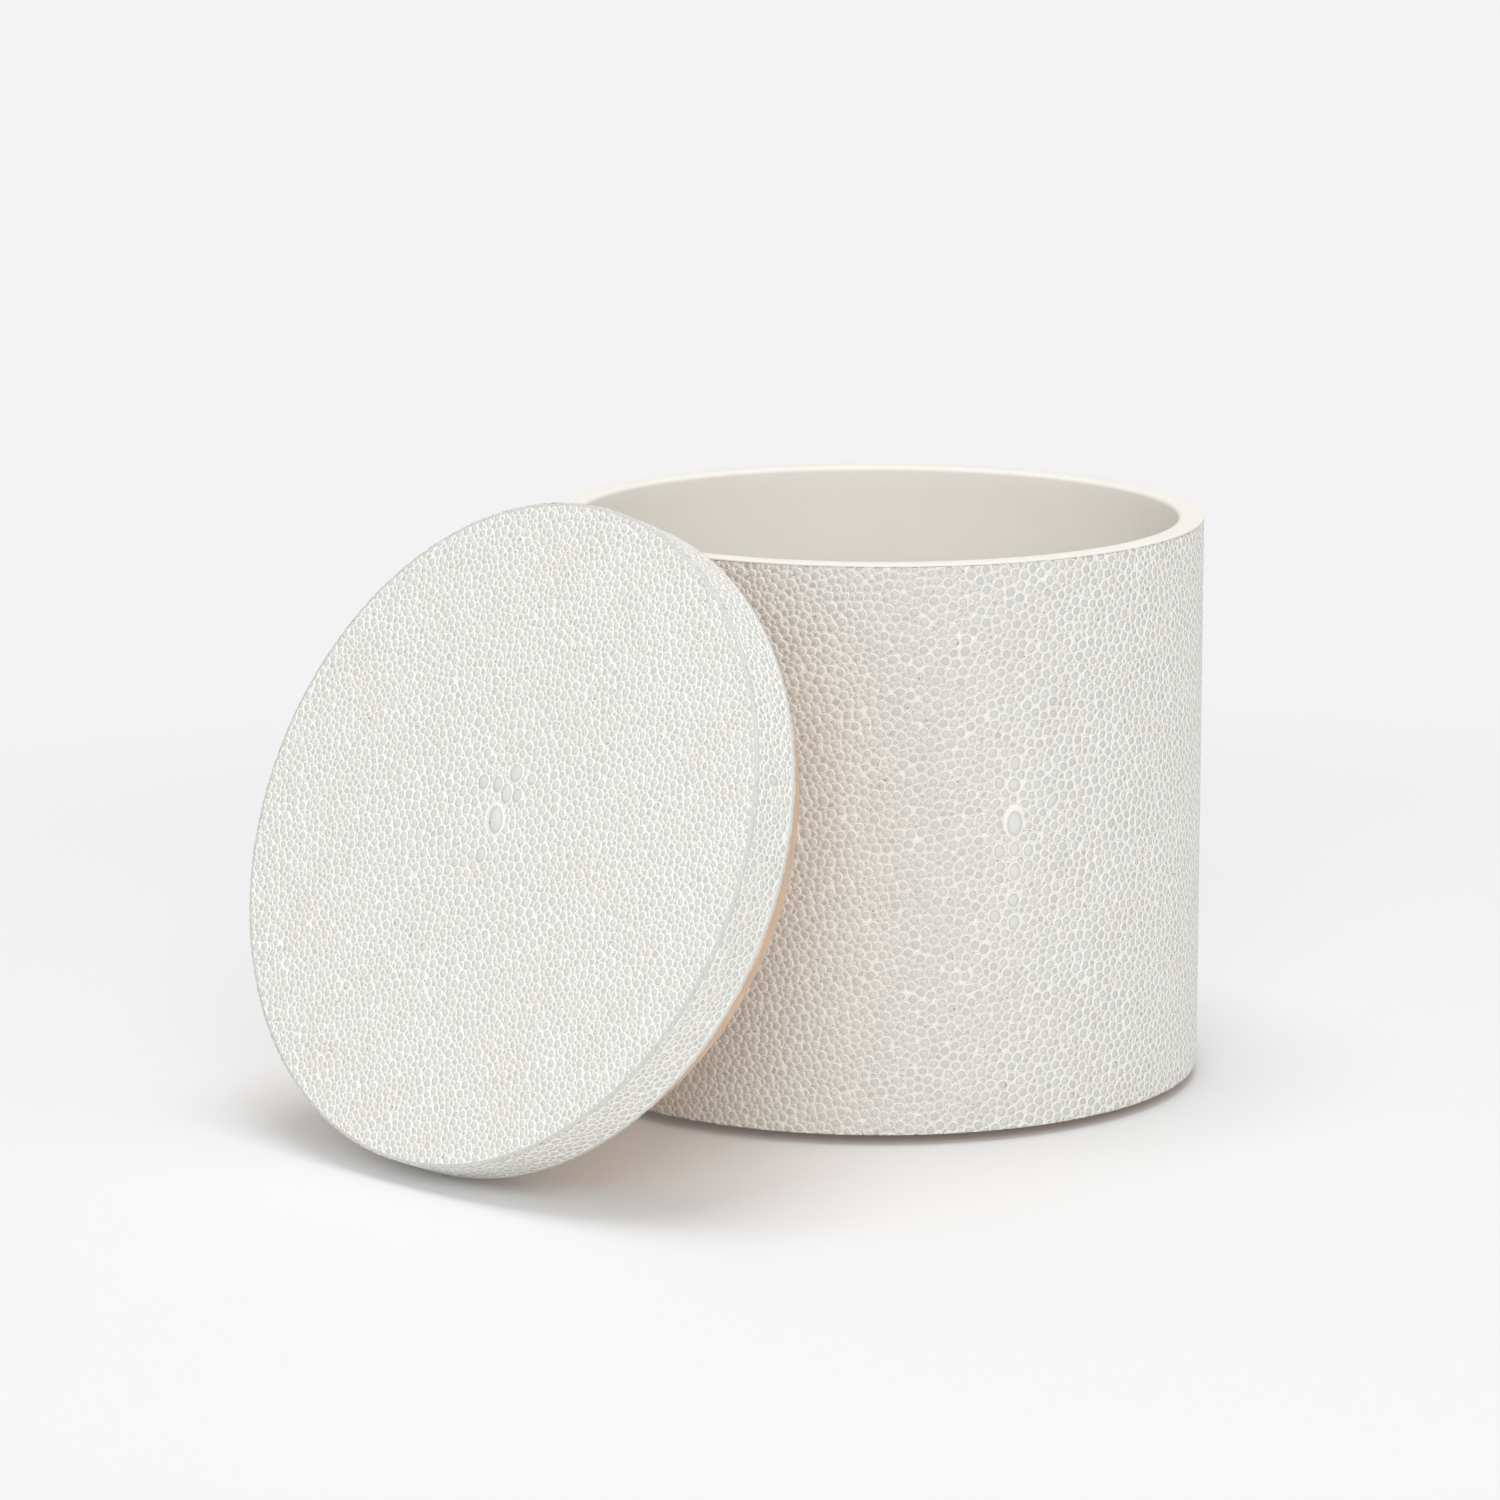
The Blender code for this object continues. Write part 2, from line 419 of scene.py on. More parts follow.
def add_form(name, sides, rings):
    """One scale from foot to top: rings of a share of the flank, a rise and a crown value."""
    vertices = []
    crowns = []
    flanks = []
    for share, rise, value in rings:
        for side in range(sides):
            angle = math.tau * side / sides
            vertices.append((math.cos(angle), math.sin(angle), rise))
            crowns.append(value)
            flanks.append(share)
    vertices.append((0, 0, rings[-1][1]))
    crowns.append(1.0)
    flanks.append(0.0)
    faces = [tuple(reversed(range(sides)))]
    for ring in range(len(rings) - 1):
        for side in range(sides):
            after = (side + 1) % sides
            first = ring * sides
            faces.append((first + side, first + after, first + sides + after, first + sides + side))
    last = (len(rings) - 1) * sides
    for side in range(sides):
        faces.append((last + side, last + (side + 1) % sides, len(vertices) - 1))
    mesh = bpy.data.meshes.new(name)
    mesh.from_pydata(vertices, [], faces)
    for attribute, numbers in (("crown", crowns), ("flank", flanks)):
        mesh.attributes.new(attribute, "FLOAT", "POINT").data.foreach_set("value", numbers)
    return bpy.data.objects.new(name, mesh)


foot_ring = (1.0, -0.25, 0.0)
shoulder_ring = (0.35, 0.62, 0.45)
top_ring = (0.0, 1.0, 0.8)
small_top_ring = (0.0, 0.95, 0.8)
forms = {
    "Large Form": add_form("large_scale", 10, [foot_ring, shoulder_ring, top_ring]),
    "Small Form": add_form("small_scale", 8, [foot_ring, small_top_ring]),
    "Marked Form": add_form("marked_scale", 16, [foot_ring, shoulder_ring, top_ring]),
}
millimetre = 0.001
mark_units = {"across": millimetre, "up": millimetre, "turn": math.radians(1), "rise": 1.0, "wash": 1.0}


def add_marks(name, rows):
    """The listed scales, and discs that cover each long one to keep the others off it.

    A row is a place, half a width and half a height in millimetres, a turn in degrees, and shares of the
    rise and of the wash.
    """
    marks = bpy.data.meshes.new(name)
    marks.from_pydata([(row[0] / 1000, row[1] / 1000, 0) for row in rows], [], [])
    for column, (attribute, unit) in enumerate(mark_units.items(), 2):
        values = marks.attributes.new(attribute, "FLOAT", "POINT")
        values.data.foreach_set("value", [row[column] * unit for row in rows])
    places = []
    sizes = []
    for x, y, across, up, turn, *_ in rows:
        wide = max(across, up)
        narrow = min(across, up)
        way = math.radians(turn) + (math.pi / 2 if up > across else 0.0)
        focus = math.sqrt(wide * wide - narrow * narrow)
        for share in (-1, -0.5, 0, 0.5, 1):
            along = share * focus * focus / wide
            places.append(((x + along * math.cos(way)) / 1000, (y + along * math.sin(way)) / 1000, 0))
            sizes.append(narrow * math.sqrt(1 - (share * focus / wide) ** 2) / 1000)
    cover = bpy.data.meshes.new(name + "_cover")
    cover.from_pydata(places, [], [])
    cover.attributes.new("top_radius", "FLOAT", "POINT").data.foreach_set("value", sizes)
    return {"Marks": bpy.data.objects.new(name, marks), "Cover": bpy.data.objects.new(cover.name, cover)}


def start_tree(name, sockets):
    """Start a Geometry Nodes tree with named inputs, each with its default or else its kind.

    It gives back the tree, its inputs and a short way to add Math nodes.
    """
    tree = bpy.data.node_groups.new(name, "GeometryNodeTree")
    for socket_name, default in sockets.items():
        kind = {float: "Float", int: "Int", bool: "Bool"}.get(type(default), default)
        socket = tree.interface.new_socket(name=socket_name, in_out="INPUT", socket_type=f"NodeSocket{kind}")
        if kind is not default:
            socket.default_value = default
    tree.interface.new_socket(name="Result", in_out="OUTPUT", socket_type="NodeSocketGeometry")
    return tree, tree.nodes.new("NodeGroupInput").outputs, partial(add_math, tree)


def end_tree(tree, geometry):
    """Give a geometry out of its tree."""
    tree.links.new(geometry, tree.nodes.new("NodeGroupOutput").inputs[0])
    return tree


def add_step(tree, kind, inputs=None, **settings):
    """Add a Geometry Nodes node and give back its first result."""
    return add_node(tree, "GeometryNode" + kind, inputs, **settings).outputs[0]


def add_field(tree, attribute, kind="FLOAT"):
    """Read a stored value of each point."""
    return add_step(tree, "InputNamedAttribute", {"Name": attribute}, data_type=kind)


def stored(tree, geometry, values, kind="FLOAT"):
    """Store values on each point."""
    for attribute, value in values.items():
        inputs = {"Geometry": geometry, "Name": attribute, "Value": value}
        geometry = add_step(tree, "StoreNamedAttribute", inputs, data_type=kind)
    return geometry


def sampled(tree, geometry, index, value, kind="FLOAT"):
    """A value of one point of a geometry."""
    inputs = {"Geometry": geometry, "Index": index, "Value": value}
    return add_step(tree, "SampleIndex", inputs, data_type=kind)


def chosen(tree, switch, when_false, when_true, kind="FLOAT"):
    """One of two values, by a switch."""
    inputs = {"Switch": switch, "False": when_false, "True": when_true}
    return add_step(tree, "Switch", inputs, input_type=kind)


def moved(tree, geometry, **where):
    """Move the points of a geometry by an Offset or to a Position."""
    return add_step(tree, "SetPosition", {"Geometry": geometry, **where})


def all_joined(tree, *parts):
    """Join geometries into one."""
    joined = tree.nodes.new("GeometryNodeJoinGeometry")
    for part in parts:
        tree.links.new(part, joined.inputs[0])
    return joined.outputs[0]


def without(tree, geometry, selection):
    """Delete the selected points."""
    return add_step(tree, "DeleteGeometry", {"Geometry": geometry, "Selection": selection})


def object_mesh(tree, shape):
    """The mesh of an object that is given as an input."""
    return add_node(tree, "GeometryNodeObjectInfo", {"Object": shape}).outputs["Geometry"]


def points_of(tree, mesh):
    """The points of a mesh."""
    return add_step(tree, "MeshToPoints", {"Mesh": mesh})


def scaled(tree, vector, size):
    """A vector turned to length one and then scaled."""
    way = add_vector(tree, "NORMALIZE", vector)
    return add_node(tree, "ShaderNodeVectorMath", {0: way, "Scale": size}, operation="SCALE").outputs[0]


kind_of = {"large": 0, "small": 1, "marked": 2, "cover": 3}


def make_layout_tree():
    """Scatter large scales on the flat sheet, off the marked ones, and pack small ones between them."""
    tree, given, number = start_tree(
        "shagreen_layout",
        {
            "Blank": "Geometry",
            "Marks": "Object",
            "Cover": "Object",
            "Pitch": 0.0022,
            "Top Radius": 0.00086,
            "Ridge": 0.0005,
            "Growth": 1.15,
            "Growth Reach": 0.022,
            "Spine Share": 1.0,
            "Widest Small": 0.00054,
            "Smallest": 0.00016,
            "Wash": 1.0,
            "Tone": 0.0,
            "Seed": 1,
        },
    )
    here = add_step(tree, "InputPosition")
    ridge = given["Ridge"]
    full_growth_reach = 0.004

    def seed_for(use):
        return number("ADD", given["Seed"], use)

    def chance(low, high, use):
        """A random number for each point."""
        inputs = {2: low, 3: high, "Seed": seed_for(use)}
        return add_node(tree, "FunctionNodeRandomValue", inputs, data_type="FLOAT").outputs[1]

    def nearest(geometry, value, kind):
        """A value of the nearest point of another set."""
        index = add_step(tree, "SampleNearest", {"Geometry": geometry})
        return sampled(tree, geometry, index, value, kind)

    def scattered(spacing, use):
        """Points all over the sheet, tried often enough that only the spacing limits their number."""
        tries = 9.0
        inputs = {
            "Mesh": given["Blank"],
            "Distance Min": spacing,
            "Density Max": number("DIVIDE", tries, number("MULTIPLY", spacing, spacing)),
            "Seed": seed_for(use),
        }
        return add_step(tree, "DistributePointsOnFaces", inputs, distribute_method="POISSON")

    def repeated(geometry, times, step):
        """Run a step on a geometry several times."""
        first = tree.nodes.new("GeometryNodeRepeatInput")
        last = tree.nodes.new("GeometryNodeRepeatOutput")
        first.pair_with_output(last)
        first.inputs["Iterations"].default_value = times
        tree.links.new(geometry, first.inputs["Geometry"])
        tree.links.new(step(first.outputs["Geometry"], first.outputs["Iteration"]), last.inputs["Geometry"])
        return last.outputs["Geometry"]

    def push(way, length, wanted, firmness):
        """A step along a way that brings a length up to the wanted one."""
        short = number("MAXIMUM", number("SUBTRACT", wanted, length), 0.0)
        return scaled(tree, way, number("MULTIPLY", short, firmness))

    def neighbour_away():
        """The vector from the nearest other point of the same set, and its length."""
        index = add_step(tree, "IndexOfNearest")
        settings = {"data_type": "FLOAT_VECTOR", "domain": "POINT"}
        neighbour = add_step(tree, "FieldAtIndex", {"Index": index, "Value": here}, **settings)
        away = add_vector(tree, "SUBTRACT", here, neighbour)
        return away, add_vector(tree, "LENGTH", away)

    def clearance(groups):
        """The way from the nearest edge of a scale's top, and how far that edge is."""
        way, free = None, None
        for group in groups:
            new_way = add_vector(tree, "SUBTRACT", here, nearest(group, here, "FLOAT_VECTOR"))
            edge = nearest(group, add_field(tree, "top_radius"), "FLOAT")
            new_free = number("SUBTRACT", add_vector(tree, "LENGTH", new_way), edge)
            if way is None:
                way, free = new_way, new_free
                continue
            closer = number("LESS_THAN", new_free, free)
            way = chosen(tree, closer, way, new_way, "VECTOR")
            free = number("MINIMUM", new_free, free)
        return way, free

    marks = points_of(tree, object_mesh(tree, given["Marks"]))
    marks = stored(tree, marks, {"kind": kind_of["marked"], "tone": 0.5})
    cover = points_of(tree, object_mesh(tree, given["Cover"]))
    cover = stored(tree, cover, {"kind": kind_of["cover"]})

    # The pearl is the first marked scale. The others are larger near it.
    pearl = sampled(tree, marks, 0, here, "FLOAT_VECTOR")
    spine = combined(tree, 1.0, given["Spine Share"], 1.0)
    from_pearl = add_vector(tree, "MULTIPLY", add_vector(tree, "SUBTRACT", here, pearl), spine)
    from_pearl = add_vector(tree, "LENGTH", from_pearl)
    growth = mapped(tree, from_pearl, full_growth_reach, given["Growth Reach"], given["Growth"], 1.0)
    local_top = number("MULTIPLY", given["Top Radius"], growth)
    local_pitch = number("MULTIPLY", given["Pitch"], growth)

    def spread(points, step):
        away, length = neighbour_away()
        apart = push(away, length, local_pitch, 0.4)
        mark_way, mark_free = clearance([cover])
        off_mark = push(mark_way, mark_free, number("ADD", local_top, ridge), 0.8)
        return moved(tree, points, Offset=add_vector(tree, "ADD", apart, off_mark))

    # The large scales settle about a pitch apart, and each gets its size from what is free round it.
    large = scattered(number("MULTIPLY", given["Pitch"], 0.97), 0)
    large = repeated(large, 6, spread)
    spare = number("MULTIPLY", number("SUBTRACT", neighbour_away()[1], ridge), 0.5)
    wanted = number("MULTIPLY", local_top, chance(0.8, 1.1, 2))
    large = stored(tree, large, {"top_radius": number("MINIMUM", wanted, spare)})
    near_mark = number("MULTIPLY", given["Top Radius"], 0.9)
    large = without(tree, large, number("LESS_THAN", clearance([cover])[1], near_mark))

    def filled(groups, spacing, gap, widest, smallest, rounds, use):
        """Scatter points, let them settle in the gaps, join the crowded ones and size each to its gap."""
        inward_wanted = number("ADD", gap, widest)
        apart_wanted = number("MULTIPLY_ADD", widest, 1.7, gap)
        merge_reach = number("MULTIPLY_ADD", widest, 1.25, gap)

        def settle(points, step):
            way, free = clearance(groups)
            firmness = number("DIVIDE", 0.5, number("MULTIPLY_ADD", step, 0.2, 1.0))
            inward = push(way, free, inward_wanted, firmness)
            apart = push(*neighbour_away(), apart_wanted, 0.25)
            return moved(tree, points, Offset=add_vector(tree, "ADD", inward, apart))

        def fit():
            return number("SUBTRACT", clearance(groups)[1], gap)

        points = scattered(spacing, use)
        for share, passes in rounds:
            points = repeated(points, passes, settle)
            inputs = {"Geometry": points, "Distance": number("MULTIPLY", merge_reach, share)}
            points = add_step(tree, "MergeByDistance", inputs)
        points = without(tree, points, number("LESS_THAN", fit(), smallest))
        points = repeated(points, 4, settle)
        alone = number("MULTIPLY", number("SUBTRACT", neighbour_away()[1], gap), 0.52)
        cap = number("MULTIPLY", chance(0.85, 1.0, use + 1), widest)
        radius = number("MINIMUM", number("MINIMUM", fit(), alone), cap)
        points = stored(tree, points, {"top_radius": radius})
        least = number("MULTIPLY", smallest, 0.8)
        return without(tree, points, number("LESS_THAN", add_field(tree, "top_radius"), least))

    widest, smallest = given["Widest Small"], given["Smallest"]
    early_rounds = [(0.55, 5), (0.8, 5), (1.0, 5)]
    small = filled([large, cover], 0.0009, ridge, widest, smallest, early_rounds, 5)
    late_rounds = [(0.6, 4), (1.0, 4)]
    smaller = number("MULTIPLY", widest, 0.7)
    tight = number("MULTIPLY", ridge, 0.7)
    late = filled([large, cover, small], 0.0006, tight, smaller, smallest, late_rounds, 7)
    small = all_joined(tree, small, late)

    def finished(points, kind, rise, tone):
        radius = add_field(tree, "top_radius")
        values = {
            "kind": kind_of[kind],
            "across": radius,
            "up": radius,
            "turn": chance(0.0, math.tau, 15),
            "rise": rise,
            "wash": given["Wash"],
            "tone": number("ADD", tone, given["Tone"]),
        }
        return stored(tree, points, values)

    large = finished(large, "large", chance(0.9, 1.0, 17), chance(0.0, 1.0, 11))
    small = finished(small, "small", chance(0.75, 0.9, 19), chance(-0.6, 0.0, 13))
    points = all_joined(tree, large, small, marks, cover)
    return end_tree(tree, add_step(tree, "PointsToVertices", {"Points": points}))


def make_scale_tree():
    """Set a scale on each point of one strip, cut the scales at the sheet's edges and bend the sheet."""
    tree, given, number = start_tree(
        "shagreen_scales",
        {
            "Layout": "Geometry",
            "Large Form": "Object",
            "Small Form": "Object",
            "Marked Form": "Object",
            "Rise": 0.0003,
            "Ridge": 0.0005,
            "Flank": 0.0004,
            "Stretch": 1.14,
            "Small Stretch": 1.4,
            "Half Across": 0.2,
            "Half Up": 0.05,
            "Round Sheet": False,
            "Fade Low": 0.0005,
            "Fade High": 0.0005,
            "Bend Radius": 0.0,
            "Bend Turn": 0.0,
            "Strip From": -1.0,
            "Strip To": 1.0,
            "Material": "Material",
        },
    )
    here = add_step(tree, "InputPosition")
    everything = points_of(tree, given["Layout"])
    half_ridge = number("MULTIPLY", given["Ridge"], 0.5)
    owner_height = 0.003
    next_to_nothing = 0.000001

    def is_kind(kind):
        inputs = {0: add_field(tree, "kind"), 1: kind_of[kind], "Epsilon": 0.1}
        return add_node(tree, "FunctionNodeCompare", inputs, operation="EQUAL").outputs[0]

    def flattened(vector):
        parts = split(tree, vector)
        return combined(tree, parts["X"], parts["Y"])

    # Each cell's owner stands higher the smaller it is, so that the nearest point in space is the owner.
    cell = number("ADD", add_field(tree, "top_radius"), half_ridge)
    cell_square = number("MULTIPLY", cell, cell)
    height = number("SQRT", number("SUBTRACT", owner_height * owner_height, cell_square))
    owners = without(tree, everything, is_kind("marked"))
    owners = moved(tree, owners, Offset=combined(tree, 0.0, 0.0, height))

    points = without(tree, everything, is_kind("cover"))
    along = split(tree, here)["X"]
    before = number("LESS_THAN", along, given["Strip From"])
    past = number("GREATER_THAN", along, given["Strip To"])
    points = without(tree, points, number("MAXIMUM", before, past))
    points = stored(tree, points, {"middle": here}, "FLOAT_VECTOR")
    rise = number("MULTIPLY", given["Rise"], add_field(tree, "rise"))
    placing = {
        "Points": points,
        "Rotation": combined(tree, 0.0, 0.0, add_field(tree, "turn")),
        "Scale": combined(tree, add_field(tree, "across"), add_field(tree, "up"), rise),
    }
    scales = []
    for kind in ("large", "small", "marked"):
        form = object_mesh(tree, given[kind.title() + " Form"])
        inputs = {**placing, "Instance": form, "Selection": is_kind(kind)}
        scales.append(add_step(tree, "InstanceOnPoints", inputs))
    scales = all_joined(tree, *scales)
    body = add_step(tree, "RealizeInstances", {"Geometry": scales})

    # Each point goes its own way out to the border with the next cell, less the slant. Four tries find it.
    middle = add_field(tree, "middle", "FLOAT_VECTOR")
    from_middle = flattened(add_vector(tree, "SUBTRACT", here, middle))
    length = add_vector(tree, "LENGTH", from_middle)
    way = add_vector(tree, "NORMALIZE", from_middle)
    own = number("ADD", add_field(tree, "top_radius"), half_ridge)
    own_square = number("MULTIPLY", own, own)
    limit = chosen(tree, is_kind("large"), given["Small Stretch"], given["Stretch"])
    limit = number("MULTIPLY", own, limit)
    top = number("SUBTRACT", limit, half_ridge)
    for _ in range(4):
        probe = add_vector(tree, "ADD", middle, scaled(tree, way, limit))
        index = add_step(tree, "SampleNearest", {"Geometry": owners, "Sample Position": probe})
        found = sampled(tree, owners, index, here, "FLOAT_VECTOR")
        found_top = sampled(tree, owners, index, add_field(tree, "top_radius"))
        found_own = number("ADD", found_top, half_ridge)
        found_square = number("MULTIPLY", found_own, found_own)
        to_found = add_vector(tree, "SUBTRACT", flattened(found), middle)
        distance = add_vector(tree, "LENGTH", to_found)
        least_facing = number("MULTIPLY", distance, 0.4)
        facing = number("MAXIMUM", add_vector(tree, "DOT_PRODUCT", to_found, way), least_facing)
        square = number("MULTIPLY_ADD", distance, distance, own_square)
        square = number("SUBTRACT", square, found_square)
        border = number("DIVIDE", number("MULTIPLY", square, 0.5), facing)
        slant = number("DIVIDE", number("MULTIPLY", distance, half_ridge), facing)
        is_other = number("GREATER_THAN", distance, next_to_nothing)
        limit = chosen(tree, is_other, limit, number("MINIMUM", limit, border))
        edge = chosen(tree, is_other, top, number("SUBTRACT", border, slant))
        top = number("MINIMUM", top, edge)
    least_top = number("MULTIPLY", add_field(tree, "top_radius"), 0.5)
    top = number("MAXIMUM", top, least_top)
    top = chosen(tree, is_kind("marked"), top, length)
    top = number("MULTIPLY_ADD", add_field(tree, "flank"), given["Flank"], top)
    spot = split(tree, add_vector(tree, "ADD", middle, scaled(tree, way, top)))
    spot = combined(tree, spot["X"], spot["Y"], split(tree, here)["Z"])
    is_centre = number("LESS_THAN", length, next_to_nothing)
    body = moved(tree, body, Position=chosen(tree, is_centre, spot, here, "VECTOR"))

    # The sheet is cut to its size, and its edges are sanded.
    flat = split(tree, here)
    across, up, rise = flat["X"], flat["Y"], flat["Z"]
    radius = add_vector(tree, "LENGTH", combined(tree, across, up))
    keep = number("MINIMUM", number("DIVIDE", given["Half Up"], radius), 1.0)

    def held(value, limit):
        low = number("MULTIPLY", limit, -1.0)
        return number("MINIMUM", number("MAXIMUM", value, low), limit)

    def for_sheet(straight, round_one):
        return chosen(tree, given["Round Sheet"], straight, round_one)

    across = for_sheet(held(across, given["Half Across"]), number("MULTIPLY", across, keep))
    up = for_sheet(held(up, given["Half Up"]), number("MULTIPLY", up, keep))
    from_edge = number("SUBTRACT", given["Half Up"], radius)
    from_low = for_sheet(number("ADD", up, given["Half Up"]), from_edge)
    from_high = for_sheet(number("SUBTRACT", given["Half Up"], up), from_edge)
    full_rise = number("MULTIPLY", given["Rise"], 1.2)
    for distance, fade in ((from_low, given["Fade Low"]), (from_high, given["Fade High"])):
        bare = number("MULTIPLY", fade, 0.5)
        rise = number("MINIMUM", rise, mapped(tree, distance, bare, fade, 0.0, full_rise))

    # The flat sheet is bent round Z, unless its bend radius is 0.
    bend = number("MAXIMUM", given["Bend Radius"], 0.001)
    angle = number("ADD", number("DIVIDE", across, bend), given["Bend Turn"])
    bent_radius = number("ADD", given["Bend Radius"], rise)
    bent_x = number("MULTIPLY", bent_radius, number("SINE", angle))
    forward = number("MULTIPLY", bent_radius, -1.0)
    bent_y = number("MULTIPLY", forward, number("COSINE", angle))
    is_bent = number("GREATER_THAN", given["Bend Radius"], 0.0)
    flat_place = combined(tree, across, up, rise)
    bent_place = combined(tree, bent_x, bent_y, up)
    body = moved(tree, body, Position=chosen(tree, is_bent, flat_place, bent_place, "VECTOR"))
    body = add_step(tree, "SetShadeSmooth", {"Geometry": body})
    body = add_step(tree, "RealizeInstances", {"Geometry": body})
    inputs = {"Geometry": body, "Material": given["Material"]}
    return end_tree(tree, add_step(tree, "SetMaterial", inputs))


layout_tree = make_layout_tree()
scale_tree = make_scale_tree()
blank_overrun = 0.0012
blank_sides = 64


def add_blank(name, half_across, half_up, is_round):
    """The flat sheet that the scales are scattered on, a little larger than the cut one."""
    mesh = bpy.data.meshes.new(name)
    wide = half_across + blank_overrun
    high = half_up + blank_overrun
    if is_round:
        turns = [math.tau * side / blank_sides for side in range(blank_sides)]
        corners = [(high * math.cos(turn), high * math.sin(turn), 0) for turn in turns]
    else:
        corners = [(-wide, -high, 0), (wide, -high, 0), (wide, high, 0), (-wide, high, 0)]
    mesh.from_pydata(corners, [], [tuple(range(len(corners)))])
    return mesh


def run_tree(tree, mesh, inputs):
    """Run a Geometry Nodes tree on a mesh and give back the plain mesh that it makes."""
    carrier = bpy.data.objects.new("carrier", mesh)
    scene_objects.link(carrier)
    modifier = carrier.modifiers.new("shagreen", "NODES")
    modifier.node_group = tree
    for item in tree.interface.items_tree:
        if item.in_out == "INPUT" and item.name in inputs:
            modifier[item.identifier] = inputs[item.name]
    bpy.context.view_layer.update()
    evaluated = carrier.evaluated_get(bpy.context.evaluated_depsgraph_get())
    made = bpy.data.meshes.new_from_object(evaluated)
    bpy.data.objects.remove(carrier)
    return made


def add_scales(name, body, place, layout, strips, half_across, sheet):
    """Make the scales of one sheet, in strips so that no piece gets too heavy."""
    given = {**forms, "Rise": scale_rise, "Flank": scale_flank, "Material": shagreen, **sheet}
    reach = half_across + 2 * blank_overrun
    for strip in range(strips):
        given["Strip From"] = -reach + 2 * reach * strip / strips
        given["Strip To"] = given["Strip From"] + 2 * reach / strips
        mesh = run_tree(scale_tree, layout, given)
        mesh.name = f"{name}_{strip + 1}"
        mesh.transform(place)
        piece = bpy.data.objects.new(mesh.name, mesh)
        scene_objects.link(piece)
        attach(piece, body)


seam_gap = 0.0003
under_lip_gap = 0.00006
sheet_foot_radius = 0.0003
skin_inner = core_radius + glue_gap
side_valley = outer_radius - scale_rise
sheet_low = skin_low.z
sheet_high = rim_high.z - lip_thickness - under_lip_gap
sheet_corners = [
    (side_valley, sheet_high, 0),
    (side_valley, sheet_low, sheet_foot_radius),
    (skin_inner, sheet_low, 0),
    (skin_inner, sheet_high, 0),
]
wall_sheet = turned("wall_sheet", sheet_corners, shagreen, "canister", None, seam_gap, math.pi / 2)
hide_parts("body_skin")

side_half_across = math.pi * outer_radius - seam_gap / 2
wall_half_up = (sheet_high - sheet_low) / 2
wall_marks = add_marks(
    "wall_marks",
    [
        (74.0, 4.8, 1.6, 2.5, 0, 1.1, 0.75),
        (73.95, 5.25, 2.05, 3.05, 0, 0.9, 0.0),
        (74.0, -0.1, 1.05, 1.4, 0, 1.0, 0.8),
        (70.9, -0.3, 1.05, 1.4, 4, 1.0, 0.9),
        (76.9, -0.6, 1.0, 1.25, -4, 1.0, 0.9),
        (74.1, -4.4, 1.15, 1.7, 0, 1.05, 0.8),
        (71.2, -3.3, 0.9, 0.95, 0, 1.0, 1.0),
        (76.9, -3.4, 0.9, 0.95, 0, 1.0, 1.0),
        (73.8, -9.9, 1.15, 1.35, 0, 1.0, 0.9),
        (70.1, -12.7, 1.1, 1.3, 10, 1.0, 0.9),
        (74.0, -14.2, 1.1, 1.5, -5, 1.0, 0.9),
        (73.8, 12.2, 1.2, 1.35, 0, 1.0, 0.9),
        (74.0, 16.3, 0.95, 1.5, 0, 1.0, 0.9),
        (70.8, 12.8, 0.95, 1.2, 12, 1.0, 1.0),
        (82.0, 8.4, 0.85, 1.7, -38, 1.0, 1.0),
    ],
)
wall_layout = run_tree(
    layout_tree,
    add_blank("wall_blank", side_half_across, wall_half_up, False),
    {
        **wall_marks,
        "Pitch": 0.00172,
        "Top Radius": 0.00066,
        "Growth": 1.26,
        "Growth Reach": 0.055,
        "Spine Share": 0.4,
        "Tone": -0.45,
        "Seed": 4,
    },
)
wall_cut = {
    "Half Across": side_half_across,
    "Half Up": wall_half_up,
    "Fade Low": 0.0004,
    "Fade High": 0.000001,
    "Ridge": 0.00055,
    "Stretch": 1.18,
    "Bend Radius": side_valley,
}
wall_place = Matrix.Translation((0, 0, (sheet_high + sheet_low) / 2))
add_scales("wall_scales", "canister", wall_place, wall_layout, 7, side_half_across, wall_cut)


# Lid: board and plug
# A plain wooden disc with a smaller, shallower one glued under it, which drops into the mouth. Both are left
# bare. The grain runs straight across, and the turned sides are less orange than the flat faces.
lean = math.radians(22.95)
lid_board_thickness = 0.0095
lid_thickness = 0.011
lid_board_low, lid_board_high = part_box("lid_board")
lid_middle = (lid_board_low + lid_board_high) / 2
lid_turn = Matrix.Rotation(math.pi / 2 - lean, 4, "X")
lid_place = Matrix.Translation(lid_middle) @ lid_turn @ Matrix.Translation((0, 0, -lid_board_thickness / 2))
plug_clearance = 0.0005
plug_radius = mouth_bore - plug_clearance
plug_depth = 0.0078
plug_edge_radius = 0.0007
side_tan = (0.71, 0.52, 0.375, 1)
side_line = (0.65, 0.45, 0.31, 1)
# Painted shade: the flat faces are a deeper orange than the sides, so that the light they throw back browns
# the shade between lid and wall and on the table.
end_tan = (0.82, 0.49, 0.25, 1)
end_line = (0.74, 0.41, 0.19, 1)
line_width = 0.0014
line_share = 0.04
line_depth = 0.00003
side_from = plug_radius - 0.0012
side_to = plug_radius - 0.0002
wood, wood_tree, wood_shader, wood_place = new_finish("tan_wood", 0.55)
wood_mapping = {"Vector": wood_place, "Location": lid_place.translation, "Rotation": lid_turn.to_euler()}
wood_local = add_node(wood_tree, "ShaderNodeMapping", wood_mapping, vector_type="TEXTURE").outputs[0]
wood_parts = split(wood_tree, wood_local)
wood_radius = add_vector(wood_tree, "LENGTH", combined(wood_tree, wood_parts["X"], wood_parts["Y"]))
wood_side = mapped(wood_tree, wood_radius, side_from, side_to)
